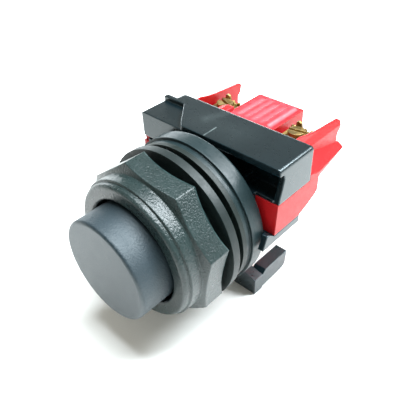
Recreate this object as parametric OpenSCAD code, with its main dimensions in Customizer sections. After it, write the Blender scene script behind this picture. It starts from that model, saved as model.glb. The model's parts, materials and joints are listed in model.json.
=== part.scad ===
// Heavy-duty pushbutton switch for a 30.5 mm panel hole, with one contact block.
// The origin is the centre of the panel seat. -Y points at the user, +Z is up.

/* [Button] */
// outer diameter of the button cap
cap_d = 28.1; // [20:0.1:28.4]
// front face of the cap, ahead of the panel seat
cap_front = 26.9; // [22:0.1:32]
// depth of the cap from its face to its rim
cap_depth = 10.3; // [8:0.1:12]
// rounding of the cap's front edge
cap_round = 0.9; // [0.3:0.1:1.5]
// wall thickness of the cap
cap_wall = 1.8; // [1:0.1:2.4]
// how far the button is pressed
press_travel = 5.5; // [3:0.1:5.6]

/* [Bezel nut] */
// diameter across the octagon's corners
nut_corner_d = 44.5; // [43:0.1:46]
// turn of the octagon about the button's axis
nut_turn = 59.2; // [0:0.1:90]
// diameter of the round collar
collar_d = 39.2; // [37:0.1:40]
// front face of the nut, ahead of the panel seat
nut_front = 18.2; // [16:0.1:20]
// gap round the cap in the nut's front opening
mouth_gap = 0.8; // [0.5:0.1:1.2]

/* [Rings] */
// outer diameter of the thrust washer
washer_d = 44; // [40:0.1:46]
// thickness of the thrust washer
washer_t = 2.3; // [1:0.1:3]
// gap between the thrust washer and the panel seat
panel_gap = 2.1; // [2.1:0.1:6]
// outer diameter of the panel gasket
gasket_d = 42.6; // [40:0.1:44]
// thickness of the panel gasket
gasket_t = 1.45; // [1:0.05:2.5]

/* [Operator body] */
// diameter of the threaded bushing
bushing_d = 30; // [29:0.1:30.2]
// front end of the bushing, ahead of the panel seat
bushing_front = 10.5; // [9:0.1:11]
// diameter of the shoulder behind the panel
shoulder_d = 43.8; // [42:0.1:45]
// diameter of the stem that slides in the bushing
stem_d = 16; // [12:0.1:16.4]

/* [Mounting frame] */
// width of the frame and of the contact block
frame_w = 48; // [46:0.1:50]
// height of the frame's roof above the button's axis
roof_z = 20.75; // [20:0.05:22]
// front edge of the roof, behind the panel seat
roof_y = 9.7; // [9:0.1:10]
// rear edge of the roof, behind the panel seat
roof_rear = 23.2; // [22:0.1:24]
// thickness of the frame's walls
frame_wall = 1.6; // [1:0.1:1.8]

/* [Contact block] */
// rear wall of the block, behind the panel seat
block_rear = 27.6; // [27:0.1:29]
// rear end of the wings, behind the panel seat
wing_rear = 45.8; // [44:0.1:47]
// thickness of the wings
wing_t = 1.6; // [1.4:0.1:2.4]
// half the width of the raised centre
centre_half = 7.6; // [7:0.1:8]
// diameter of the terminal screws' heads
terminal_head_d = 4.8; // [4.6:0.1:4.9]

/* [Latch lever] */
// width of the lever's arm
lever_w = 3.9; // [3:0.1:4.2]
// rear end of the lever's arm, behind the panel seat
lever_rear = 25.9; // [22:0.1:27]

/* [Hidden] */
$fn = 64;
e = 0.01;
far = 60;

// clearances
run_gap = 0.05;
touch_gap = 0.05;
thread_gap = 0.1;
seam = 0.1;
end_gap = 0.02;

// button and stem
cap_r = cap_d / 2;
cap_in_r = cap_r - cap_wall;
cap_face_t = 2.2;
cap_rim_y = -cap_front + cap_depth;
hub_y = -cap_front + cap_face_t;
disc_t = 2;
disc_y = hub_y + e;
disc_rear = disc_y + disc_t;
disc_r = cap_in_r - end_gap;
stem_r = stem_d / 2;
stem_rear = 10.4;
stem_bore_r = 5.2;
stem_end_t = 3;

// seal and clip on the stem
seal_wire_r = 0.85;
seal_y = 3.2;
seal_r = stem_r - seal_wire_r;
seal_groove_w = 2.1;
clip_t = 1;
clip_in_r = 6.9;
clip_out_r = 9.4;
clip_y = 8.3;

// springs
return_coil_r = 9.6;
return_wire_r = 0.7;
return_turns = 7;
plunger_coil_r = 2.2;
plunger_wire_r = 0.3;
plunger_turns = 9;
bridge_coil_r = 2.1;
bridge_wire_r = 0.22;
bridge_turns = 3;

// bushing and shoulder
bushing_r = bushing_d / 2;
flange_r = gasket_d / 2 - 0.1;
flange_rear = 2.75;
line_r = flange_r - 0.4;
line_rear = 3.05;
shoulder_r = shoulder_d / 2;
shoulder_rear = 7.7;
shoulder_round = 0.8;
neck_r = 16;
body_rear = 8.2;
spring_well_r = 12.4;
spring_floor = -1;
key_w = 4;
key_depth = 1.2;

// nut
nut_r = nut_corner_d / 2;
collar_r = collar_d / 2;
collar_rear = -13;
cone_rear = -11.8;
lip_r = 18.2;
lip_round_r = 19.06;
lip_y = -16.8;
lip_line_y = -16.45;
nut_rear = -5.3;
dish_r = 17.4;
dish_y = -9;
nut_seat_y = -panel_gap - washer_t;
nut_step_y = -10.8;
nut_bore_r = bushing_r + thread_gap;
mouth_r = cap_r + mouth_gap;
mouth_chamfer = 0.5;

// frame
half_w = frame_w / 2;
disc_plate_r = 17;
disc_plate_y = body_rear;
disc_plate_t = 1.8;
disc_plate_rear = disc_plate_y + disc_plate_t;
way_r = 10.2;
way_rear = 16.8;
web_y = 14.6;
web_t = 1.4;
web_z = 10.5;
roof_t = 1.85;
roof_under = roof_z - roof_t;
roof_round = 1;
low_top = 19.5;
low_z = 12;
low_x = -8.3;
flag_y = 18.8;
flag_t = 1.4;
flag_x = -16;
rail_z = -0.9;
rail_top = 1.25;
rail_rear = 19.8;
fin_front = 4.3;
fin_top = 2.9;
end_z = 10.5;
rib_x = 11.6;
rib_t = 1.4;
rib_rise = 2.4;
boss_r = 3;
base_half = disc_plate_r;
end_front = roof_y + 0.1;
end_hollow = 1.8;
shelf_t = 0.8;
side_top = 11.9;

// lever
pivot_x = 4;
pivot_z = -16.5;
pivot_boss_r = 4;
plate_y = 10.6;
plate_t = 3.6;
arm_x = 13.6;
arm_top = -20.6;
arm_bottom = -26.2;
plate_bottom = -27.3;
plate_top = -21.8;
notch_depth = 1.5;
pin_r = 1.5;
pin_gap = 0.03;
pin_head_r = 2.4;
pin_head_t = 0.9;
plate_half = 3;
plate_rise = 2.6;
notch_y = 3.2;
arm_start = 4.9;

// contact block
block_front = 10.2;
block_low = 1.35;
end_low = 8.9;
end_high = 9.6;
block_step = 10.4;
upper_front = web_y + web_t + seam;
upper_half = half_w - frame_wall - seam;
upper_top = roof_under - seam;
wing_top = 19.1;
wing_tip_z = 16.5;
wing_low = 8.9;
wing_out = 18.9;
wing_in = wing_out - wing_t;
rear_top = 16;
rear_y = roof_rear + seam;
ledge_y = wing_rear - 0.2;
ledge_points = [
  [wing_out, rear_y, 15.1], [wing_out - 1, rear_y, 15.1],
  [wing_out, wing_rear - 1.4, 9.9], [wing_out - 1, wing_rear - 1.4, 9.9],
  [wing_out, ledge_y, 9.5], [wing_out - 1, ledge_y, 9.5], [20.7, ledge_y, 8.3],
  [half_w, block_rear, 10.8], [half_w, rear_y, 12.2],
  [wing_out - 1, ledge_y, 7.9], [20.5, ledge_y, 7.9],
  [half_w - 0.3, block_rear, 10.2], [half_w, rear_y, 8.4], [wing_out - 1, rear_y, 8.4],
  [half_w, block_rear - 0.2, 9.4], [wing_out - 1, block_rear, 8.4]
];
deck_rear = 38;
deck_top = 13;
centre_top = 17;
centre_rear = 43.8;
pocket_r = 10;
pocket_rear = 16.6;
hall_y = 18;
hall_rear = 26.4;
hall_half = 12.6;
mid_half = hall_half + 1.3;
hall_low = 2.85;
hall_top = 14.6;
tube_r = 4.4;
tube_in_r = 3.1;
tube_rear = 40;
tube_floor = 38.4;
streak_w = 0.9;
streak_depth = 0.3;
streak_x = -5.2;
streak_front = 31;
streak_step = 2.6;
rim_w = 1;
rim_depth = 0.55;
guard_out = 12.4;
guard_top = 18.3;

// moving contact
rod_z = 6.2;
rod_r = 1.4;
rod_front = stem_rear + touch_gap;
tip_r = 1.4;
tip_t = 0.4;
tip_x = 9.6;
strip_t = 0.8;
fixed_y = hall_y + touch_gap;
fixed_tip_y = fixed_y + strip_t;
moving_tip_y = fixed_tip_y + tip_t + touch_gap;
bridge_y = moving_tip_y + tip_t;
bridge_t = 0.7;
bridge_half = 11.2;
bridge_w = 4.4;
collar_t = 0.7;
rod_collar_r = 2.4;
bridge_spring_len = 2;
rod_flange_t = 0.8;
rod_flange_r = 2.8;
flange_y = bridge_y + bridge_t + bridge_spring_len;
peg_r = 1.1;
peg_len = 3;

// terminals
terminal_x = 12.8;
terminal_y = 32.6;
strip_rear = 36.6;
strip_half = 3.2;
strip_in = terminal_x - strip_half;
strip_out = terminal_x + strip_half;
guard_rear = terminal_y - terminal_head_d / 2 - 0.3;
clamp_t = 0.8;
clamp_len = 5;
clamp_lift = 0.7;
clamp_foot_t = 0.7;
ear_t = 0.7;
ear_rise = 3.4;
clamp_half = 3.4;
clamp_z = deck_top + strip_t + clamp_lift;
screw_r = 1.7;
head_t = 1.4;
slot_w = 0.9;
slot_depth = 0.8;

// fixing screws
frame_screw_x = 9.5;
frame_screw_z = -9.6;
block_screw_x = 14.7;
block_screw_z = 5.9;
fix_r = 1.4;
fix_head_r = 2.6;
fix_head_t = 1.7;

// a flat shape in X and Z, drawn out along Y
module along_y(y0, len)
  translate([0, y0 + len, 0]) rotate([90, 0, 0]) linear_extrude(len) children();

// a flat shape in Y and Z, drawn out along X
module along_x(x0, len)
  translate([x0, 0, 0]) rotate([90, 0, 90]) linear_extrude(len) children();

// a profile of radius and Y, turned about the Y axis
module turned()
  rotate([-90, 0, 0]) rotate_extrude() children();

// a round rod along Y
module rod(r, y0, len, x = 0, z = 0)
  translate([x, y0, z]) rotate([-90, 0, 0]) cylinder(r = r, h = len);

// a flat ring about the Y axis
module ring(r_out, r_in, y0, len)
  difference() {
    rod(r_out, y0, len);
    rod(r_in, y0 - 1, len + 2);
  }

// what a rounded corner takes away; the corner is at the origin, the piece lies towards -X and -Y
module corner_waste(r)
  difference() {
    translate([-r, -r]) square([r + 1, r + 1]);
    translate([-r, -r]) circle(r = r);
  }

// a box from its two opposite corners
module block(a, b)
  translate(a) cube(b - a);

// the height of a coil's centre line after t turns, with closed ends
function coil_z(t, turns, run, lead) =
  t < 1 ? t * lead :
  t > turns - 1 ? run - (turns - t) * lead :
  lead + (run - 2 * lead) * (t - 1) / (turns - 2);

// a coil spring along +Y that starts at y0
module coil(mean_r, wire_r, y0, len, turns, steps, sides) {
  n = turns * steps;
  run = len - 2 * wire_r;
  lead = 2.04 * wire_r;
  points = [
    for (i = [0 : n])
      for (j = [0 : sides - 1])
        let (a = 360 * i / steps, b = 360 * j / sides)
        let (r = mean_r + wire_r * cos(b))
        [r * cos(a), y0 + wire_r + coil_z(i / steps, turns, run, lead) + wire_r * sin(b), r * sin(a)]
  ];
  walls = [
    for (i = [0 : n - 1])
      for (j = [0 : sides - 1])
        let (k = (j + 1) % sides)
        let (p = i * sides + j, q = i * sides + k)
        each [[p, p + sides, q + sides], [p, q + sides, q]]
  ];
  first = [for (j = [0 : sides - 1]) j];
  last = [for (j = [sides - 1 : -1 : 0]) n * sides + j];
  polyhedron(points, concat(walls, [first, last]));
}

module button_cap()
  color([0.3, 0.32, 0.34])
  turned()
  difference() {
    translate([0, -cap_front]) square([cap_r, cap_depth]);
    translate([0, hub_y]) square([cap_in_r, cap_depth]);
    translate([cap_r, -cap_front]) mirror([0, 1]) corner_waste(cap_round);
  }

module plunger_stem()
  color([0.16, 0.17, 0.18])
  difference() {
    union() {
      rod(disc_r, disc_y, disc_t);
      rod(stem_r, disc_y, stem_rear - disc_y);
    }
    rod(stem_bore_r, disc_y - 1, stem_rear - stem_end_t - disc_y + 1);
    ring(stem_r + 1, stem_r - 2 * seal_wire_r, seal_y - seal_groove_w / 2, seal_groove_w);
    ring(stem_r + 1, clip_in_r, clip_y - run_gap, clip_t + 2 * run_gap);
  }

module return_spring()
  color([0.62, 0.63, 0.64])
  coil(
    return_coil_r, return_wire_r, disc_rear + touch_gap,
    spring_floor - disc_rear - 2 * touch_gap, return_turns, 20, 6
  );

module stem_seal()
  color([0.1, 0.1, 0.1])
  turned()
  translate([seal_r, seal_y]) circle(r = seal_wire_r);

module stop_clip()
  color([0.5, 0.5, 0.5])
  difference() {
    ring(clip_out_r, clip_in_r, clip_y, clip_t);
    block([-clip_in_r * 0.7, clip_y - 1, -far], [clip_in_r * 0.7, clip_y + clip_t + 1, -clip_in_r * 0.5]);
  }

module bezel_nut()
  color([0.17, 0.19, 0.2])
  difference() {
    union() {
      intersection() {
        rotate([-90, 0, 0]) rotate([0, 0, -nut_turn]) translate([0, 0, collar_rear - 1])
          cylinder(r = nut_r, h = nut_rear - collar_rear + 1, $fn = 8);
        turned() polygon([
          [0, collar_rear], [collar_r, collar_rear], [nut_r + e, cone_rear],
          [nut_r + 1, cone_rear], [nut_r + 1, nut_rear + 1], [0, nut_rear + 1]
        ]);
      }
      turned() polygon([
        [0, -nut_front], [lip_r, -nut_front], [lip_r + 0.45, -nut_front + 0.2],
        [lip_round_r - 0.1, -nut_front + 0.7], [lip_round_r, lip_y], [lip_round_r, lip_line_y],
        [collar_r - 0.15, lip_line_y], [collar_r, lip_line_y + 0.15], [collar_r, collar_rear], [0, collar_rear]
      ]);
      rod(dish_r, nut_rear - 1, nut_seat_y - nut_rear + 1);
    }
    turned() polygon([
      [dish_r, dish_y], [nut_r + 1, nut_rear + 0.3], [nut_r + 1, -1], [dish_r, -1]
    ]);
    rod(mouth_r, -far, 2 * far);
    rod(nut_bore_r, nut_step_y, far);
    turned() polygon([
      [0, -nut_front - e], [mouth_r + mouth_chamfer, -nut_front - e],
      [mouth_r, -nut_front + mouth_chamfer], [0, -nut_front + mouth_chamfer]
    ]);
  }

module thrust_washer()
  color([0.2, 0.21, 0.22])
  ring(washer_d / 2, nut_bore_r, nut_seat_y, washer_t);

module panel_gasket()
  color([0.12, 0.12, 0.12])
  ring(gasket_d / 2, bushing_r, 0, gasket_t);

module operator_body()
  color([0.15, 0.16, 0.17])
  difference() {
    turned()
    difference() {
      polygon([
        [0, -bushing_front], [bushing_r - 0.6, -bushing_front], [bushing_r, -bushing_front + 0.6],
        [bushing_r, gasket_t], [flange_r, gasket_t], [flange_r, flange_rear],
        [line_r, flange_rear], [line_r, line_rear], [shoulder_r, line_rear],
        [shoulder_r, shoulder_rear], [neck_r, shoulder_rear], [neck_r, body_rear], [0, body_rear]
      ]);
      translate([shoulder_r, shoulder_rear]) corner_waste(shoulder_round);
    }
    rod(stem_r + run_gap, -far, 2 * far);
    rod(spring_well_r, -far, far + spring_floor);
    block([-key_w / 2, -far, bushing_r - key_depth], [key_w / 2, -gasket_t, far]);
    for (s = [-1, 1])
      rod(fix_r + run_gap, gasket_t + 1, far, s * frame_screw_x, frame_screw_z);
  }

// the fin, rail and shelf that lie under the contact block
module rail()
  difference() {
    union() {
      block([-half_w, disc_plate_y, rail_z], [half_w, rail_rear, rail_top]);
      for (x0 = [-half_w, half_w - frame_wall])
        along_x(x0, frame_wall) polygon([
          [fin_front, rail_z], [fin_front + 1.6, fin_top], [fin_front + 2.4, fin_top],
          [end_low - seam, rail_top], [end_low - seam, rail_z]
        ]);
    }
    rod(way_r, 0, way_rear);
  }

// the right part of the roof, with the slanted edge at its left
module roof()
  difference() {
    translate([0, 0, roof_under]) linear_extrude(roof_t) polygon([
      [low_x, roof_y], [half_w, roof_y], [half_w, roof_rear], [flag_x - 3.6, roof_rear],
      [flag_x - 4, roof_rear - 1], [flag_x - 4, flag_y], [flag_x, flag_y], [low_x - 1.3, roof_y + 1.3]
    ]);
    along_y(0, far) translate([half_w, roof_z]) corner_waste(roof_round);
  }

// the lowered part of the frame at its left
module low_part()
  difference() {
    block([-half_w, roof_y, low_z], [low_x + 1, flag_y + flag_t, low_top]);
    block([-half_w + frame_wall, roof_y + frame_wall, -far], [far, far, low_top - frame_wall]);
    along_y(0, far) translate([-half_w, low_top]) mirror([1, 0]) corner_waste(0.6);
  }

module mounting_frame()
  color([0.13, 0.15, 0.16])
  difference() {
    union() {
      rod(disc_plate_r, disc_plate_y, disc_plate_t);
      block([-base_half, disc_plate_y, rail_z], [base_half, disc_plate_rear, web_z + shelf_t]);
      rail();
      // shelf over the lower part of the contact block
      block(
        [-half_w + frame_wall + seam, disc_plate_rear - 0.3, web_z],
        [half_w - frame_wall + e, web_y + e, web_z + shelf_t]
      );
      roof();
      low_part();
      // upright strip behind the lowered part
      block([-half_w, flag_y, low_top - 1], [flag_x, flag_y + flag_t, roof_z]);
      // right end wall
      difference() {
        along_x(half_w - frame_wall, frame_wall) polygon([
          [end_front, end_z], [end_front + 0.3 * end_hollow, end_z + 2.2],
          [end_front + 0.7 * end_hollow, end_z + 4.5], [end_front + end_hollow, end_z + 6.8],
          [end_front + 0.85 * end_hollow, end_z + 8],
          [end_front + 0.4 * end_hollow, roof_under + 0.3], [roof_y, roof_under + 0.7], [roof_y, roof_z],
          [roof_rear, roof_z], [roof_rear, end_z]
        ]);
        along_y(0, far) translate([half_w, roof_z]) corner_waste(roof_round);
      }
      // inner wall in front of the contact block
      block([-half_w + frame_wall, web_y, web_z], [half_w - frame_wall, web_y + web_t, roof_under + e]);
      // ribs from the disc to the inner wall
      for (x = [-rib_x, rib_x])
        block([x - rib_t / 2, disc_plate_rear - e, web_z], [x + rib_t / 2, web_y + e, web_z + rib_rise]);
      // step of the roof down to the lowered part
      block([low_x - 1.3, roof_y + 1.3, low_top - 1.5], [low_x + 1.5, web_y, roof_under + 1]);
      // leg that carries the lever
      along_y(disc_plate_y, disc_plate_t) union() {
        translate([-pivot_x, pivot_z]) square([2 * pivot_x + pivot_boss_r - pivot_x, -pivot_z - way_r]);
        translate([pivot_x, pivot_z]) circle(r = pivot_boss_r);
      }
      rod(boss_r, disc_plate_rear - e, plate_y - disc_plate_rear - run_gap, pivot_x, pivot_z);
    }
    rod(way_r, 0, disc_plate_rear + 1);
    rod(pin_r, 0, far, pivot_x, pivot_z);
    for (s = [-1, 1]) {
      rod(fix_r + 2 * run_gap, 0, far, s * frame_screw_x, frame_screw_z);
      rod(fix_r, 0, disc_plate_rear + 1, s * block_screw_x, block_screw_z);
    }
  }

module frame_screws()
  color([0.6, 0.6, 0.6])
  for (s = [-1, 1])
    difference() {
      union() {
        rod(fix_r, gasket_t + 1.2, disc_plate_rear - gasket_t - 1.2 + e, s * frame_screw_x, frame_screw_z);
        rod(fix_head_r, disc_plate_rear, fix_head_t, s * frame_screw_x, frame_screw_z);
      }
      translate([s * frame_screw_x, disc_plate_rear + fix_head_t, frame_screw_z])
        cube([slot_w, 2 * slot_depth, 3 * fix_head_r], center = true);
    }

module latch_lever()
  color([0.2, 0.19, 0.2])
  difference() {
    union() {
      // plate with the pivot boss
      along_y(plate_y, plate_t) union() {
        translate([pivot_x, pivot_z]) circle(r = pivot_boss_r);
        polygon([
          [pivot_x - plate_half, pivot_z - plate_rise], [pivot_x + plate_half, pivot_z + plate_rise],
          [arm_x - 1, plate_top + 1.2],
          [arm_x + lever_w, plate_top], [arm_x + lever_w, plate_bottom], [arm_x - 5, plate_bottom]
        ]);
      }
      // arm that the finger moves
      along_x(arm_x, lever_w) polygon([
        [plate_y + 1, arm_bottom - 0.6], [plate_y + 1, plate_top - 0.4], [plate_y + notch_y, arm_top - notch_depth],
        [plate_y + arm_start, arm_top], [lever_rear, arm_top], [lever_rear - 0.5, arm_bottom + 0.8],
        [lever_rear - 1.6, arm_bottom]
      ]);
    }
    rod(pin_r + pin_gap, 0, far, pivot_x, pivot_z);
  }

module latch_pin()
  color([0.6, 0.6, 0.6])
  union() {
    rod(pin_r, disc_plate_y + run_gap, plate_y + plate_t - disc_plate_y, pivot_x, pivot_z);
    rod(pin_head_r, plate_y + plate_t + run_gap, pin_head_t, pivot_x, pivot_z);
  }

// one wing with its flared foot and the sloped ledge outside it, at the right
module wing() {
  intersection() {
    along_y(rear_y, wing_rear - rear_y) polygon([
      [wing_in, wing_low], [wing_out, wing_low], [wing_out, wing_top - 4.1], [wing_out - 0.9, wing_top - 1.9],
      [wing_out - 1.3, wing_top], [wing_in, wing_top]
    ]);
    along_x(0, far) polygon([
      [0, wing_low], [wing_rear - 1.6, wing_low], [wing_rear - 1.5, 12.8], [wing_rear - 0.4, 13.8],
      [wing_rear, wing_tip_z - 0.5],
      [wing_rear - 0.5, wing_tip_z], [wing_rear - 7.8, wing_top - 1.9], [wing_rear - 11.8, wing_top - 1.5],
      [wing_rear - 15.8, wing_top - 0.8], [wing_rear - 18.8, wing_top], [0, wing_top]
    ]);
  }
  hull() polyhedron(ledge_points, [for (i = [0 : len(ledge_points) - 3]) [i, i + 1, i + 2]]);
}

module block_housing()
  color([0.85, 0.12, 0.16])
  difference() {
    union() {
      // lower part, as wide as the frame, with rounded ends
      for (x0 = [-half_w, mid_half])
        along_x(x0, half_w - mid_half) polygon([
          [block_front, block_low], [block_rear - 8.1, block_low], [block_rear - 5, block_low + 0.95],
          [block_rear - 3, block_low + 1.95], [block_rear - 1, block_low + 2.95],
          [block_rear, block_low + 3.85], [block_rear, block_step], [block_front, block_step]
        ]);
      // fronts of these ends, beside the frame's disc
      for (x0 = [-half_w, base_half + seam])
        along_x(x0, half_w - base_half - seam) polygon([
          [end_low, block_low], [block_front + 1, block_low], [block_front + 1, block_step],
          [end_high, block_step]
        ]);
      block([-mid_half - e, block_front, block_low], [mid_half + e, block_rear, block_step]);
      // the left end reaches up to the lowered part of the frame
      block([-half_w, block_front, block_step - e], [-half_w + frame_wall, roof_rear, side_top - e]);
      // upper part, inside the frame
      block([-upper_half, upper_front, block_step - 1], [upper_half, rear_y + e, upper_top]);
      block([-wing_in - e, roof_rear, block_step - 1], [wing_in + e, block_rear, rear_top]);
      // deck under the terminals
      block([-wing_in - 1, block_rear - 1, wing_low], [wing_in + 1, deck_rear, deck_top]);
      // raised centre and the tube under it
      block([-centre_half, block_rear - 2, wing_low - 2], [centre_half, centre_rear, centre_top]);
      rod(tube_r, block_rear - 2, tube_rear - block_rear + 2, 0, rod_z);
      // low wall in front of the left terminal
      along_y(block_rear - 1, guard_rear - block_rear + 1) polygon([
        [-guard_out, wing_low], [-guard_out, centre_top - 0.4], [-guard_out + 0.8, centre_top + 0.2],
        [-centre_half - 1.6, guard_top], [-centre_half + 0.6, guard_top], [-centre_half + 0.6, wing_low]
      ]);
      wing();
      mirror([1, 0, 0]) wing();
    }
    // room for the stem's end
    rod(pocket_r, 0, pocket_rear);
    // step under the lowered part of the frame
    block([-far, 0, low_top - frame_wall - seam], [low_x + 1 + seam, flag_y + flag_t + seam, far]);
    // room for the moving contact
    block([-hall_half, hall_y, -far], [hall_half, hall_rear, hall_top]);
    block([-hall_half, hall_y - 0.8, -far], [hall_half, hall_rear, hall_low - 0.05]);
    rod(tube_in_r, hall_y, tube_floor - hall_y, 0, rod_z);
    rod(rod_r + run_gap, 0, hall_y + 1, 0, rod_z);
    for (s = [-1, 1]) {
      // slots for the contact strips
      block(
        [s * terminal_x - strip_half - 0.1, hall_rear - 1, deck_top],
        [s * terminal_x + strip_half + 0.1, guard_rear + 1, deck_top + strip_t + 0.1]
      );
      rod(fix_r + 2 * run_gap, 0, far, s * block_screw_x, block_screw_z);
      translate([s * terminal_x, terminal_y, wing_low - 1]) cylinder(r = screw_r + run_gap, h = far);
    }
    // slanted lines along the raised centre
    for (i = [0 : 3])
      along_y(streak_front, centre_rear - rim_w - 1 - streak_front)
        translate([streak_x + i * streak_step, centre_top])
        polygon([[0, 0], [streak_w, -streak_depth], [streak_w, 1], [0, 1]]);
    // lower rim at its right and rear
    along_y(block_rear - 2 - e, far) translate([centre_half, centre_top])
      polygon([[-rim_w - 1.1, 0], [-rim_w, -rim_depth], [e, -rim_depth], [e, 1], [-rim_w - 1.1, 1]]);
    block([-centre_half - e, centre_rear - rim_w, centre_top - rim_depth], [centre_half + e, far, far]);
  }

module block_cover()
  color([0.8, 0.12, 0.15])
  block(
    [-hall_half + run_gap, hall_y - 0.8 + run_gap, block_low + 0.05],
    [hall_half - run_gap, hall_rear - run_gap, hall_low - 0.1]
  );

module block_screws()
  color([0.6, 0.6, 0.6])
  for (s = [-1, 1])
    difference() {
      union() {
        rod(fix_r, disc_plate_y + run_gap, block_rear - disc_plate_y, s * block_screw_x, block_screw_z);
        rod(fix_head_r, block_rear + run_gap, fix_head_t, s * block_screw_x, block_screw_z);
      }
      translate([s * block_screw_x, block_rear + run_gap + fix_head_t, block_screw_z])
        cube([slot_w, 2 * slot_depth, 3 * fix_head_r], center = true);
    }

module contact_plunger()
  color([0.9, 0.9, 0.88])
  union() {
    rod(rod_r, rod_front, flange_y - rod_front, 0, rod_z);
    rod(rod_collar_r, bridge_y - collar_t, collar_t, 0, rod_z);
    rod(rod_flange_r, flange_y, rod_flange_t, 0, rod_z);
    rod(peg_r, flange_y, rod_flange_t + peg_len, 0, rod_z);
  }

module plunger_spring()
  color([0.62, 0.63, 0.64])
  translate([0, 0, rod_z])
  coil(
    plunger_coil_r, plunger_wire_r, flange_y + rod_flange_t + touch_gap,
    tube_floor - flange_y - rod_flange_t - 2 * touch_gap, plunger_turns, 12, 5
  );

module moving_bridge()
  color([0.8, 0.6, 0.3])
  difference() {
    block([-bridge_half, bridge_y, rod_z - bridge_w / 2], [bridge_half, bridge_y + bridge_t, rod_z + bridge_w / 2]);
    rod(rod_r + run_gap, 0, far, 0, rod_z);
  }

module bridge_spring()
  color([0.62, 0.63, 0.64])
  translate([0, 0, rod_z])
  coil(
    bridge_coil_r, bridge_wire_r, bridge_y + bridge_t + end_gap,
    bridge_spring_len - 2 * end_gap, bridge_turns, 12, 5
  );

module moving_tips()
  color([0.8, 0.8, 0.78])
  for (s = [-1, 1])
    rod(tip_r, moving_tip_y, tip_t, s * tip_x, rod_z);

// one fixed strip at the right: an upright plate and a tongue out to the terminal
module fixed_strip()
  difference() {
    union() {
      block([tip_x - 2.2, fixed_y, rod_z - 2], [hall_half - 0.2, fixed_y + strip_t, deck_top + strip_t]);
      block([strip_in, fixed_y, deck_top + touch_gap], [hall_half - 0.2, block_rear + 1, deck_top + strip_t]);
      block([strip_in, hall_rear + 0.1, deck_top + touch_gap], [strip_out, strip_rear, deck_top + strip_t]);
    }
    translate([terminal_x, terminal_y, 0]) cylinder(r = screw_r + run_gap, h = far);
  }

module fixed_contact_left()
  color([0.8, 0.62, 0.3])
  mirror([1, 0, 0]) fixed_strip();

module fixed_contact_right()
  color([0.8, 0.62, 0.3])
  fixed_strip();

module fixed_tips()
  color([0.8, 0.8, 0.78])
  for (s = [-1, 1])
    rod(tip_r, fixed_tip_y, tip_t, s * tip_x, rod_z);

module wire_clamps()
  color([0.75, 0.6, 0.28])
  for (s = [-1, 1])
    translate([s * terminal_x, terminal_y, clamp_z])
    difference() {
      union() {
        translate([-clamp_half, -clamp_len / 2, 0]) cube([2 * clamp_half, clamp_len + ear_t, clamp_t]);
        // rear edge, turned up into teeth
        along_y(clamp_len / 2, ear_t) polygon([
          [-clamp_half, 0], [-clamp_half, 0.42 * ear_rise], [-0.72 * clamp_half, 0.46 * ear_rise],
          [-0.6 * clamp_half, 0.36 * ear_rise], [-0.5 * clamp_half, 0.94 * ear_rise],
          [-0.3 * clamp_half, ear_rise], [-0.08 * clamp_half, 0.9 * ear_rise], [0.02 * clamp_half, 0.4 * ear_rise],
          [0.3 * clamp_half, 0.56 * ear_rise], [0.46 * clamp_half, 0.3 * ear_rise],
          [0.74 * clamp_half, 0.3 * ear_rise], [0.82 * clamp_half, 0.54 * ear_rise],
          [clamp_half, 0.5 * ear_rise], [clamp_half, 0]
        ]);
        // feet that grip the wire
        for (y = [-clamp_len / 2, clamp_len / 2 - clamp_foot_t])
          translate([-0.84 * clamp_half, y, touch_gap - clamp_lift])
            cube([1.68 * clamp_half, clamp_foot_t, clamp_lift + e]);
      }
      translate([0, 0, -clamp_lift]) cylinder(r = screw_r + run_gap, h = far);
    }

module terminal_screws()
  color([0.78, 0.64, 0.32])
  for (s = [-1, 1])
    difference() {
      union() {
        translate([s * terminal_x, terminal_y, wing_low - 0.5])
          cylinder(r = screw_r, h = clamp_z + clamp_t - wing_low + 0.5 + 2 * touch_gap);
        translate([s * terminal_x, terminal_y, clamp_z + clamp_t + touch_gap / 2])
          cylinder(r = terminal_head_d / 2, h = head_t);
      }
      translate([s * terminal_x, terminal_y, clamp_z + clamp_t + head_t])
        rotate([0, 0, s > 0 ? 12 : -20]) cube([3 * terminal_head_d, slot_w, 2 * slot_depth], center = true);
    }

button_cap();
plunger_stem();
return_spring();
stem_seal();
stop_clip();
bezel_nut();
thrust_washer();
panel_gasket();
operator_body();
mounting_frame();
frame_screws();
latch_lever();
latch_pin();
block_housing();
block_cover();
block_screws();
contact_plunger();
plunger_spring();
moving_bridge();
bridge_spring();
moving_tips();
fixed_contact_left();
fixed_contact_right();
fixed_tips();
wire_clamps();
terminal_screws();
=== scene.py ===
"""Looks of the pushbutton switch: materials, small detail, light and camera round the frame."""
import json
import math

import bmesh
import bpy
from mathutils import Matrix, Vector


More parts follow.
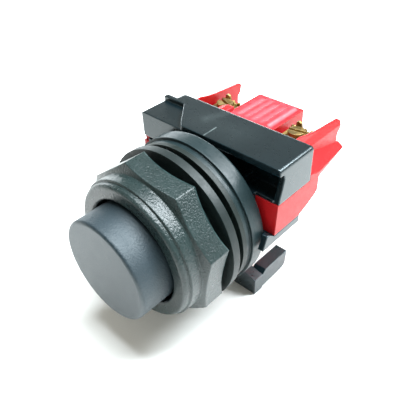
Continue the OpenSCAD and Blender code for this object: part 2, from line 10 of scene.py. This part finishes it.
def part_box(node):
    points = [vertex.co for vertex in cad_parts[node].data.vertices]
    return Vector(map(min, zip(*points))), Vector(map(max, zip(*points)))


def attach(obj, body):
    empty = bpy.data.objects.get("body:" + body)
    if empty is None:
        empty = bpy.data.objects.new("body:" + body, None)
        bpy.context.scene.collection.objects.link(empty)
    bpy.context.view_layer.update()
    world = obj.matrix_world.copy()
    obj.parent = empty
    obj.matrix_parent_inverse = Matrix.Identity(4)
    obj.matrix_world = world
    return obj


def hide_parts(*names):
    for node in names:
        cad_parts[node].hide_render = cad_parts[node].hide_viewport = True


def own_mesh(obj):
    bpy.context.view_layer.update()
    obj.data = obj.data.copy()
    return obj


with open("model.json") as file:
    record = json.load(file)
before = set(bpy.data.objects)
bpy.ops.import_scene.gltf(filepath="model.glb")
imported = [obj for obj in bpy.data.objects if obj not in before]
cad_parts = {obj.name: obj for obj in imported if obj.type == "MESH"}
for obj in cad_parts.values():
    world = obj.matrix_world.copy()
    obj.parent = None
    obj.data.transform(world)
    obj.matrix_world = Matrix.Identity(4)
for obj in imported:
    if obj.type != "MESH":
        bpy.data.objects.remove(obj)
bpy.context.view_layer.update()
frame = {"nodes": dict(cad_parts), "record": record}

MM = 0.001
WHITE = (1, 1, 1, 1)
AXIS_Y = Vector((0, 1, 0))
scene = bpy.context.scene
nodes = frame["nodes"]

# camera, fitted to the photo: angles in degrees, place, lens and sensor in millimetres
CAMERA_AZIMUTH = 44.81
CAMERA_ELEVATION = 38.68
CAMERA_ROLL = -2.75
CAMERA_PLACE = (76.0, -69.32, 87.76)
CAMERA_LENS = 45.11
CAMERA_SENSOR = 36
CAMERA_CLIP = (0.005, 20)

# floor, room and lights: lengths in metres, power in watts
FLOOR_Z = -27.45 * MM
FLOOR_HALF = 3.0
FLOOR_COLOUR = (0.93, 0.925, 0.9, 1)
FLOOR_FADE = (0.2, 0.4)
ROOM_COLOUR = (1.0, 0.97, 0.86, 1)
ROOM_LEVEL = 0.47
LIGHT_COLOUR = (0.9, 0.98, 1.03)
KEY = {"toward": (0.25, 0.32, 0.92), "distance": 0.45, "size": (0.12, 0.6), "power": 10.3}
WINDOW = {"toward": (-0.82, 0.55, 0.07), "distance": 1.0, "size": (1.2, 0.18), "power": 6}

# a Mix node's colour sockets, by their places, because several sockets share one name
MIX_SHARE, MIX_FIRST, MIX_SECOND, MIX_RESULT = 0, 6, 7, 2

# edges: the bevel's samples, and the cosines between which an edge fades into the face
BEVEL_SAMPLES = 8
EDGE_BEND = (0.8, 0.99)

# noise patterns: size in millimetres, detail, and a stretch where there is one
CLOUD, BLOTCH, WAVE = (9, 3), (2.2, 5), (14, 2)
TURNED = (0.45, 2, (0.06, 1.0, 0.06))
PATCH, METAL_GRAIN = (1.6, 4), (0.25, 3)
GRAIN_DETAIL = 3

# what all plastics share: a share mixes a colour in, and a lift makes it lighter
FLECK_SHARE, FLECK_LIFT = 0.55, 2.2
# edges made lighter partly by wear and partly as a painted edge highlight
WEAR_AND_EDGE_HIGHLIGHT_SHARE = (0.15, 0.8)
# share of the painted sheen on the raised centre's top
PAINTED_SHEEN_SHARE = (0.3, 1.0)
SPECKLE_MOST = 0.045
WAVE_STRENGTH = 0.6
PEBBLE_SIZE = 1.3

# what all metals share: edge and depth in millimetres
METAL_EDGE_MM = 0.12
METAL_EDGE_SHARE, METAL_EDGE_LIFT = 0.6, 1.35
PATCH_LIFT = 0.4
PATCH_ROUGH = (-0.06, 0.12)
METAL_GRAIN_ROUGH = 0.05
METAL_GRAIN_DEPTH, METAL_GRAIN_STRENGTH = 0.01, 0.8

# the rise of a spring's closed end turns in radii of its wire
CLOSED_RISE = 2.04

# the bushing's rolled thread: lengths in millimetres, steps in a turn, turns that it fades over
CREST_R, THREAD_DEPTH, PITCH = 15.0, 0.75, 1.5
HALF_TOP, HALF_ROOT = 0.62, 0.12
OVERCUT, FLARE = 0.2, 0.13
THREAD_FRONT, THREAD_REAR = -10.3, -0.9
TURN_STEPS = 56
FADE_TURNS = 0.5

# the dark line between flange and shoulder: where its floor is, and the floor's new radius
LINE_Y = (2.7, 3.1)
LINE_FLOOR_R = (20.6, 20.95)
LINE_R = 21.12


def make_camera():
    """The camera at the photo's viewing angle."""
    az, el, roll = (math.radians(v) for v in (CAMERA_AZIMUTH, CAMERA_ELEVATION, CAMERA_ROLL))
    back = Vector((math.sin(az) * math.cos(el), -math.cos(az) * math.cos(el), math.sin(el)))
    right = Vector((math.cos(az), math.sin(az), 0))
    up = back.cross(right)
    turned_right = right * math.cos(roll) + up * math.sin(roll)
    turned_up = up * math.cos(roll) - right * math.sin(roll)
    turn = Matrix((turned_right, turned_up, back)).transposed()
    camera = bpy.data.objects.new("camera", bpy.data.cameras.new("camera"))
    scene.collection.objects.link(camera)
    camera.matrix_world = Matrix.Translation(Vector(CAMERA_PLACE) * MM) @ turn.to_4x4()
    camera.data.lens = CAMERA_LENS
    camera.data.sensor_width = CAMERA_SENSOR
    camera.data.clip_start, camera.data.clip_end = CAMERA_CLIP
    scene.camera = camera


def empty_tree(owner):
    """The emptied nodes and links of a material or world."""
    owner.use_nodes = True
    owner.node_tree.nodes.clear()
    return owner.node_tree.nodes, owner.node_tree.links


def mix_to_output(made, links, kind, share, first, second):
    """Mixes two shaders by a share, into a new output."""
    mix = made.new("ShaderNodeMixShader")
    for socket, value in zip(mix.inputs, (share, first.outputs[0], second.outputs[0])):
        links.new(value, socket)
    links.new(mix.outputs[0], made.new(kind).inputs["Surface"])


def make_floor():
    """A plain diffuse table that takes the shadow and fades into the white backdrop further out."""
    material = bpy.data.materials.new("floor_white")
    made, links = empty_tree(material)
    plain = made.new("ShaderNodeBsdfDiffuse")
    plain.inputs["Color"].default_value = FLOOR_COLOUR
    white = made.new("ShaderNodeEmission")
    white.inputs["Color"].default_value = WHITE
    place = made.new("ShaderNodeTexCoord")
    reach = made.new("ShaderNodeVectorMath")
    reach.operation = "LENGTH"
    links.new(place.outputs["Object"], reach.inputs[0])
    far = made.new("ShaderNodeMapRange")
    far.inputs["From Min"].default_value, far.inputs["From Max"].default_value = FLOOR_FADE
    links.new(reach.outputs["Value"], far.inputs["Value"])
    path = made.new("ShaderNodeLightPath")
    share = made.new("ShaderNodeMath")
    share.operation = "MULTIPLY"
    links.new(far.outputs[0], share.inputs[0])
    links.new(path.outputs["Is Camera Ray"], share.inputs[1])
    mix_to_output(made, links, "ShaderNodeOutputMaterial", share.outputs[0], plain, white)
    corners = ((-1, -1), (1, -1), (1, 1), (-1, 1))
    mesh = bpy.data.meshes.new("floor")
    mesh.from_pydata(
        [(x * FLOOR_HALF, y * FLOOR_HALF, FLOOR_Z) for x, y in corners], [], [(0, 1, 2, 3)],
    )
    mesh.materials.append(material)
    floor = bpy.data.objects.new("floor", mesh)
    scene.collection.objects.link(floor)


def make_world():
    """A dim room lights the object, and the camera sees plain white."""
    world = bpy.data.worlds.new("studio")
    scene.world = world
    made, links = empty_tree(world)
    room = made.new("ShaderNodeBackground")
    room.inputs["Strength"].default_value = ROOM_LEVEL
    room.inputs["Color"].default_value = ROOM_COLOUR
    white = made.new("ShaderNodeBackground")
    white.inputs["Color"].default_value = WHITE
    seen = made.new("ShaderNodeLightPath").outputs["Is Camera Ray"]
    mix_to_output(made, links, "ShaderNodeOutputWorld", seen, room, white)


def make_light(name, toward, distance, size, power):
    """A soft panel that shines at the origin from one direction."""
    data = bpy.data.lights.new(name, "AREA")
    data.shape = "RECTANGLE"
    data.size, data.size_y = size
    data.energy = power
    data.color = LIGHT_COLOUR
    lamp = bpy.data.objects.new(name, data)
    scene.collection.objects.link(lamp)
    toward = Vector(toward).normalized()
    lamp.location = toward * distance
    lamp.rotation_mode = "QUATERNION"
    lamp.rotation_quaternion = (-toward).to_track_quat("-Z", "Y")


class Maker:
    """Builds one node material step by step. Lengths are in millimetres."""

    def __init__(self, name):
        self.material = bpy.data.materials.new(name)
        self.nodes, self.links = empty_tree(self.material)
        out = self.nodes.new("ShaderNodeOutputMaterial")
        self.shader = self.nodes.new("ShaderNodeBsdfPrincipled")
        self.links.new(self.shader.outputs[0], out.inputs["Surface"])
        self.coords = self.nodes.new("ShaderNodeTexCoord").outputs["Object"]

    def feed(self, socket, value):
        """Links the value where it is a socket, and else writes it on this socket."""
        if isinstance(value, bpy.types.NodeSocket):
            self.links.new(value, socket)
        else:
            socket.default_value = value

    def put(self, kind, **sockets):
        """A new node with its named sockets fed, an underscore standing for a space."""
        node = self.nodes.new(kind)
        for key, value in sockets.items():
            self.feed(node.inputs[key.replace("_", " ")], value)
        return node

    def operate(self, kind, operation, *values):
        """A new math node with its first sockets fed."""
        node = self.nodes.new(kind)
        node.operation = operation
        for socket, value in zip(node.inputs, values):
            self.feed(socket, value)
        return node

    def maths(self, operation, first, second):
        return self.operate("ShaderNodeMath", operation, first, second).outputs[0]

    def vector(self, operation, *values):
        return self.operate("ShaderNodeVectorMath", operation, *values)

    def noise(self, size_mm, detail, stretch=None):
        where = self.coords
        if stretch:
            where = self.vector("MULTIPLY", where, stretch).outputs[0]
        scale = 1 / (size_mm * MM)
        node = self.put("ShaderNodeTexNoise", Vector=where, Scale=scale, Detail=detail)
        return node.outputs["Fac"]

    def cells(self, size_mm):
        node = self.put("ShaderNodeTexVoronoi", Vector=self.coords, Scale=1 / (size_mm * MM))
        node.feature = "SMOOTH_F1"
        return node.outputs["Distance"]

    def span(self, value, low, high, start=0.3, end=0.7):
        """Goes from low to high as the value goes from start to end, where most of a noise is."""
        node = self.put(
            "ShaderNodeMapRange", Value=value,
            From_Min=start, From_Max=end, To_Min=low, To_Max=high,
        )
        return node.outputs[0]

    def blend(self, share, first, second):
        """The first colour where the share is 0, and the second where it is 1."""
        node = self.nodes.new("ShaderNodeMix")
        node.data_type = "RGBA"
        for place, value in ((MIX_SHARE, share), (MIX_FIRST, first), (MIX_SECOND, second)):
            self.feed(node.inputs[place], value)
        return node.outputs[MIX_RESULT]

    def rounded(self, radius_mm):
        """A normal that turns softly round the edges."""
        node = self.put("ShaderNodeBevel", Radius=radius_mm * MM)
        node.samples = BEVEL_SAMPLES
        return node.outputs[0]

    def edges(self, rounded):
        """1 near an outer or inner edge, 0 on the faces."""
        plain = self.nodes.new("ShaderNodeNewGeometry").outputs["Normal"]
        bend = self.vector("DOT_PRODUCT", rounded, plain).outputs["Value"]
        return self.span(bend, 1.0, 0.0, *EDGE_BEND)

    def line_share(self, start_mm, end_mm, width_mm):
        """1 along a straight line between two places on the surface, falling to 0 at its width."""
        start, along = Vector(start_mm) * MM, (Vector(end_mm) - Vector(start_mm)) * MM
        offset = self.vector("SUBTRACT", self.coords, start).outputs[0]
        reach = self.vector("DOT_PRODUCT", offset, along.normalized()).outputs["Value"]
        held = self.maths("MINIMUM", self.maths("MAXIMUM", reach, 0.0), along.length)
        nearest = self.vector("SCALE", along.normalized())
        self.feed(nearest.inputs["Scale"], held)
        gap = self.vector("DISTANCE", offset, nearest.outputs[0]).outputs["Value"]
        return self.span(gap, 1.0, 0.0, 0.0, width_mm * MM)

    def above(self, axis, low_mm, high_mm):
        """0 at one place along an axis and before it, 1 at the next and after it."""
        split = self.put("ShaderNodeSeparateXYZ", Vector=self.coords)
        return self.span(split.outputs[axis], 0.0, 1.0, low_mm * MM, high_mm * MM)

    def bump(self, height, depth_mm, normal, strength=1.0):
        node = self.put(
            "ShaderNodeBump", Height=height, Strength=strength,
            Distance=depth_mm * MM, Normal=normal,
        )
        return node.outputs[0]

    def complete(self, colour, roughness, normal):
        """Feeds the three patterns to the shader and gives the material."""
        for key, value in (("Base Color", colour), ("Roughness", roughness), ("Normal", normal)):
            self.feed(self.shader.inputs[key], value)
        return self.material


def tone(colour, factor):
    """The colour made lighter or darker, with its alpha."""
    return tuple(min(1.0, c * factor) for c in colour) + (1,)


def plastic(name, colour, rough, grain_mm=0.5, grain_depth=0.02, wave_depth=0.03, edge_mm=0.25,
            wear_and_edge_highlight=1.5, cloud=0.12, gloss=0.5, patchy=0.06, pebble=0.0, turned=0.0,
            marks_and_streaks=(), mark_and_streak_colour=None, painted_sheen=None, tint=None, polish=None):
    """Moulded plastic or rubber: clouds, flecks, edges lightened partly by wear and partly as a
    painted highlight, a painted sheen, grain, orange peel and marks, some of them painted highlight
    streaks.
    """
    made = Maker(name)
    soft = made.rounded(edge_mm)
    slow = made.noise(*CLOUD)
    fine = made.noise(grain_mm, GRAIN_DETAIL)
    blotch = made.noise(*BLOTCH)
    base = made.blend(made.span(slow, 0, 1), tone(colour, 1 - cloud), tone(colour, 1 + cloud))
    base = made.blend(made.span(fine, 0, FLECK_SHARE), base, tone(colour, 1 + FLECK_LIFT * cloud))
    # rubbed edges: lighter partly from wear and partly as a painted edge highlight
    wear_and_edge_highlight_share = made.maths("MULTIPLY", made.edges(soft), made.span(blotch, *WEAR_AND_EDGE_HIGHLIGHT_SHARE))
    base = made.blend(wear_and_edge_highlight_share, base, tone(colour, wear_and_edge_highlight))
    # a painted sheen: the raised centre's top made paler, standing in for the light it catches
    if painted_sheen:
        sheen_colour, faces = painted_sheen
        share = made.span(blotch, *PAINTED_SHEEN_SHARE)
        for face in faces:
            share = made.maths("MULTIPLY", share, made.above(*face))
        base = made.blend(share, base, sheen_colour)
    # the roof's marks are wear, a scratch and smears; the raised centre's are painted highlight
    # streaks
    for start, end, width, strength in marks_and_streaks:
        broken = made.span(blotch, strength, strength / 3)
        line = made.maths("MULTIPLY", made.line_share(start, end, width), broken)
        base = made.blend(line, base, mark_and_streak_colour)
    speckle = min(SPECKLE_MOST, 2 * patchy)
    patches = made.span(blotch, -patchy, patchy)
    roughness = made.maths("ADD", patches, made.span(fine, rough - speckle, rough + speckle))
    if polish:
        face, smoother = polish
        polished = made.maths("MULTIPLY", made.above(*face), smoother)
        roughness = made.maths("SUBTRACT", roughness, polished)
    normal = made.bump(made.noise(*WAVE), wave_depth, soft, WAVE_STRENGTH)
    if turned:
        normal = made.bump(made.noise(*TURNED), turned, normal)
    if pebble:
        normal = made.bump(made.cells(grain_mm * PEBBLE_SIZE), pebble, normal)
    normal = made.bump(fine, grain_depth, normal)
    if tint:
        made.shader.inputs["Specular Tint"].default_value = tint
    made.shader.inputs["Specular IOR Level"].default_value = gloss
    return made.complete(base, roughness, normal)


def metal(name, colour, rough, dull=0.25):
    """Metal with dull patches, fine grain and bright edges."""
    made = Maker(name)
    soft = made.rounded(METAL_EDGE_MM)
    patch = made.noise(*PATCH)
    grain = made.noise(*METAL_GRAIN)
    bright = tone(colour, 1 + PATCH_LIFT * dull)
    base = made.blend(made.span(patch, 0, 1), tone(colour, 1 - dull), bright)
    edge_share = made.maths("MULTIPLY", made.edges(soft), METAL_EDGE_SHARE)
    base = made.blend(edge_share, base, tone(colour, METAL_EDGE_LIFT))
    fine = made.span(grain, rough - METAL_GRAIN_ROUGH, rough + METAL_GRAIN_ROUGH)
    roughness = made.maths("ADD", made.span(patch, *PATCH_ROUGH), fine)
    made.shader.inputs["Metallic"].default_value = 1.0
    normal = made.bump(grain, METAL_GRAIN_DEPTH, soft, METAL_GRAIN_STRENGTH)
    return made.complete(base, roughness, normal)


# marks and painted highlight streaks: start and end on the surface and width in millimetres, then
# strength
MARK_COLOUR = (0.13, 0.16, 0.16, 1)
ROOF_MARKS = (
    ((-0.33, 10.0, 20.75), (-0.45, 14.9, 20.75), 0.28, 0.9),
    ((-5.5, 16.5, 20.75), (-3.8, 22.0, 20.75), 2.2, 0.12),
    ((-6.0, 15.5, 20.75), (6.0, 16.5, 20.75), 7.0, 0.06),
)
# a pale colour that paints highlight streaks on the raised centre
HIGHLIGHT_STREAK_COLOUR = (0.62, 0.27, 0.3, 1)
CENTRE_TOP, CENTRE_FRONT, CENTRE_SLANT = 17.0, 30.0, 0.2
# painted highlight streaks along the raised centre's top, standing in for light caught by its ribs
# and right edge
CENTRE_HIGHLIGHT_STREAKS = tuple(
    ((x, CENTRE_FRONT, CENTRE_TOP), (x + CENTRE_SLANT, reach, CENTRE_TOP), width, strength)
    for x, reach, width, strength in (
        (-4.8, 40.5, 1.2, 0.34), (-2.2, 41.2, 1.0, 0.25), (0.4, 39.5, 1.2, 0.3),
        (3.0, 40.0, 1.0, 0.2), (5.7, 41.8, 0.9, 0.55),
    )
)

# a painted sheen that makes the raised centre's top paler, standing in for the light it catches,
# and where the cap's face is smoother than its side
PAINTED_SHEEN_COLOUR = (0.38, 0.036, 0.05, 1)
CENTRE_FACE = (("Z", 16.3, 16.6), ("X", -7.9, -6.6), ("X", 7.9, 7.2), ("Y", 43.7, 42.2))
CAP_FACE, CAP_SMOOTHER = ("Y", -26.2, -26.7), 0.16

# the edge lift in each plastic is partly wear and partly a painted edge highlight
MATERIALS = {
    "button_plastic": plastic(
        "cap_grey", (0.002, 0.011, 0.017), 0.58, grain_mm=0.42, grain_depth=0.12, edge_mm=0.35,
        wear_and_edge_highlight=6.0, gloss=0.7, patchy=0.02, polish=(CAP_FACE, CAP_SMOOTHER),
        tint=(0.92, 0.98, 1.0, 1),
    ),
    "dark_moulding": plastic("moulding_dark", (0.012, 0.013, 0.014), 0.45, wear_and_edge_highlight=3.0),
    "nut_plastic": plastic(
        "nut_black", (0.009, 0.018, 0.018), 0.31, grain_depth=0.15, wave_depth=0.04, edge_mm=0.55,
        wear_and_edge_highlight=4.0, cloud=0.25, gloss=0.42, patchy=0.03, pebble=0.045,
    ),
    "ring_plastic": plastic(
        "ring_black", (0.003, 0.008, 0.008), 0.5, grain_depth=0.03, edge_mm=0.2, wear_and_edge_highlight=5.0,
        gloss=0.34,
    ),
    "gasket_rubber": plastic(
        "gasket_rubber", (0.003, 0.008, 0.007), 0.54, grain_mm=0.35, grain_depth=0.03,
        edge_mm=0.2, wear_and_edge_highlight=4.0, gloss=0.33,
    ),
    "seal_rubber": plastic(
        "seal_rubber", (0.01, 0.01, 0.01), 0.5, grain_mm=0.3, grain_depth=0.01, wear_and_edge_highlight=2.0,
        gloss=0.35,
    ),
    "body_plastic": plastic(
        "body_black", (0.007, 0.016, 0.018), 0.42, edge_mm=0.3, wear_and_edge_highlight=4.0, gloss=0.29,
        turned=0.04,
    ),
    "frame_plastic": plastic(
        "frame_black", (0.001, 0.005, 0.007), 0.29, grain_mm=0.9, grain_depth=0.006, edge_mm=0.55,
        wear_and_edge_highlight=6.0, gloss=0.58, patchy=0.009, marks_and_streaks=ROOF_MARKS, mark_and_streak_colour=MARK_COLOUR,
        tint=(0.85, 0.97, 1.0, 1),
    ),
    "lever_plastic": plastic(
        "lever_black", (0.003, 0.013, 0.018), 0.34, grain_mm=0.45, edge_mm=0.3, wear_and_edge_highlight=5.0,
        gloss=0.75,
    ),
    "red_plastic": plastic(
        "red_gloss", (0.33, 0.006, 0.008), 0.4, grain_mm=0.6, grain_depth=0.006, wave_depth=0.04,
        edge_mm=0.35, wear_and_edge_highlight=1.3, cloud=0.08, gloss=0.23, patchy=0.04,
        # painted highlight streaks and a painted sheen on the raised centre's top
        marks_and_streaks=CENTRE_HIGHLIGHT_STREAKS, mark_and_streak_colour=HIGHLIGHT_STREAK_COLOUR, painted_sheen=(PAINTED_SHEEN_COLOUR, CENTRE_FACE),
    ),
    "red_cover": plastic(
        "red_cover", (0.3, 0.004, 0.006), 0.42, grain_mm=0.6, grain_depth=0.008, wave_depth=0.04,
        wear_and_edge_highlight=1.3, cloud=0.08, gloss=0.3, patchy=0.04,
    ),
    "white_moulding": plastic(
        "moulding_white", (0.78, 0.78, 0.74), 0.42, grain_depth=0.008, wear_and_edge_highlight=1.02, cloud=0.05,
    ),
    "spring_steel": metal("spring_steel", (0.5, 0.51, 0.52), 0.24),
    "screw_steel": metal("screw_zinc", (0.42, 0.42, 0.4), 0.38),
    "contact_brass": metal("contact_brass", (0.45, 0.33, 0.14), 0.36),
    "tip_silver": metal("tip_silver", (0.8, 0.79, 0.76), 0.22, dull=0.15),
    "clamp_brass": metal("clamp_brass", (0.34, 0.24, 0.09), 0.45, dull=0.5),
    "terminal_brass": metal("terminal_brass", (0.38, 0.27, 0.11), 0.4, dull=0.45),
}

node_slot = {part["node"]: part["material_slot"] for part in frame["record"]["subparts"]}
for node_name, thing in nodes.items():
    for place in range(len(thing.data.materials)):
        thing.data.materials[place] = MATERIALS[node_slot[node_name]]


def new_piece(name, points, faces, smooth=True):
    """A new object from points in millimetres, with its faces turned outward."""
    mesh = bpy.data.meshes.new(name)
    mesh.from_pydata([Vector(p) * MM for p in points], [], faces)
    mesh.update()
    work = bmesh.new()
    work.from_mesh(mesh)
    bmesh.ops.recalc_face_normals(work, faces=work.faces)
    work.to_mesh(mesh)
    work.free()
    for face in mesh.polygons:
        face.use_smooth = smooth
    thing = bpy.data.objects.new(name, mesh)
    scene.collection.objects.link(thing)
    return thing


def stand_in(piece, slot, body, node):
    """Gives a piece its finish and its body, and lets it stand for a CAD node."""
    piece.data.materials.append(MATERIALS[slot])
    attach(piece, body)
    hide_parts(node)


def helix_tube(count, steps, middle, place, outline):
    """A closed tube round Y: place gives the Y and radius of each of its steps, and the outline
    is repeated at each, out from the axis and along it."""
    middle_x, middle_z = middle
    points = []
    for i in range(count + 1):
        a = math.tau * i / steps
        out = Vector((math.cos(a), 0, math.sin(a)))
        along, radius = place(i)
        centre = Vector((middle_x, along, middle_z)) + out * radius
        points += [centre + out * u + AXIS_Y * v for u, v in outline]
    sides = len(outline)
    faces = []
    for i in range(count):
        for j in range(sides):
            k = (j + 1) % sides
            faces.append((i * sides + j, i * sides + k, (i + 1) * sides + k, (i + 1) * sides + j))
    faces.append(tuple(range(sides)))
    faces.append(tuple(count * sides + j for j in range(sides)))
    return points, faces


def coil_spring(node, body, wire_r, turns, steps, sides):
    """A round wire spring with closed ends in the place of its CAD node."""
    low, high = (Vector(corner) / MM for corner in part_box(node))
    mean_r = (high.x - low.x) / 2 - wire_r
    run = high.y - low.y - 2 * wire_r
    lead = CLOSED_RISE * wire_r

    def place(i):
        t = i / steps
        if t < 1:
            along = t * lead
        elif t > turns - 1:
            along = run - (turns - t) * lead
        else:
            along = lead + (run - 2 * lead) * (t - 1) / (turns - 2)
        return low.y + wire_r + along, mean_r

    angles = [math.tau * j / sides for j in range(sides)]
    wire = [(wire_r * math.cos(a), wire_r * math.sin(a)) for a in angles]
    middle = (low.x + high.x) / 2, (low.z + high.z) / 2
    piece = new_piece(node + "_wire", *helix_tube(turns * steps, steps, middle, place, wire))
    stand_in(piece, "spring_steel", body, node)
    return piece


def thread_cutter():
    """The helical groove of the bushing's thread, which runs out over its last half turn."""
    count = int((THREAD_REAR - THREAD_FRONT) / PITCH * TURN_STEPS)

    def place(i):
        fade = min(1.0, (count - i) / (FADE_TURNS * TURN_STEPS))
        return THREAD_FRONT + PITCH * i / TURN_STEPS, CREST_R - THREAD_DEPTH * fade

    mouth, half_mouth = THREAD_DEPTH + OVERCUT, HALF_TOP + FLARE
    groove = [(0, -HALF_ROOT), (0, HALF_ROOT), (mouth, half_mouth), (mouth, -half_mouth)]
    tube = helix_tube(count, TURN_STEPS, (0, 0), place, groove)
    return new_piece("thread_cutter", *tube, smooth=False)


def threaded_body():
    """The operator body with its thread cut, and a shallower line between flange and shoulder."""
    cutter = thread_cutter()
    source = nodes["operator_body"]
    piece = bpy.data.objects.new("operator_body_threaded", source.data.copy())
    piece.matrix_world = source.matrix_world.copy()
    scene.collection.objects.link(piece)
    cut = piece.modifiers.new("thread", "BOOLEAN")
    cut.operation = "DIFFERENCE"
    cut.solver = "EXACT"
    cut.object = cutter
    bpy.context.view_layer.update()
    shaped_piece = piece.evaluated_get(bpy.context.evaluated_depsgraph_get())
    shaped = bpy.data.meshes.new_from_object(shaped_piece)
    piece.modifiers.clear()
    piece.data = shaped
    near, far = (y * MM for y in LINE_Y)
    inner, outer = (radius * MM for radius in LINE_FLOOR_R)
    for point in shaped.vertices:
        radius = math.hypot(point.co.x, point.co.z)
        if near < point.co.y < far and inner < radius < outer:
            point.co.x *= LINE_R * MM / radius
            point.co.z *= LINE_R * MM / radius
    bpy.data.objects.remove(cutter)
    shaped.materials.clear()
    stand_in(piece, "body_plastic", "base", "operator_body")


return_wire = coil_spring("return_spring", "base", 0.7, turns=7, steps=40, sides=14)
plunger_wire = coil_spring("plunger_spring", "base", 0.3, turns=9, steps=28, sides=12)
coil_spring("bridge_spring", "contact", 0.22, turns=3, steps=28, sides=12)
threaded_body()

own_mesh(return_wire)
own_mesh(plunger_wire)

make_camera()
make_floor()
make_world()
make_light("key", **KEY)
make_light("window", **WINDOW)

scene.view_settings.view_transform = "Standard"
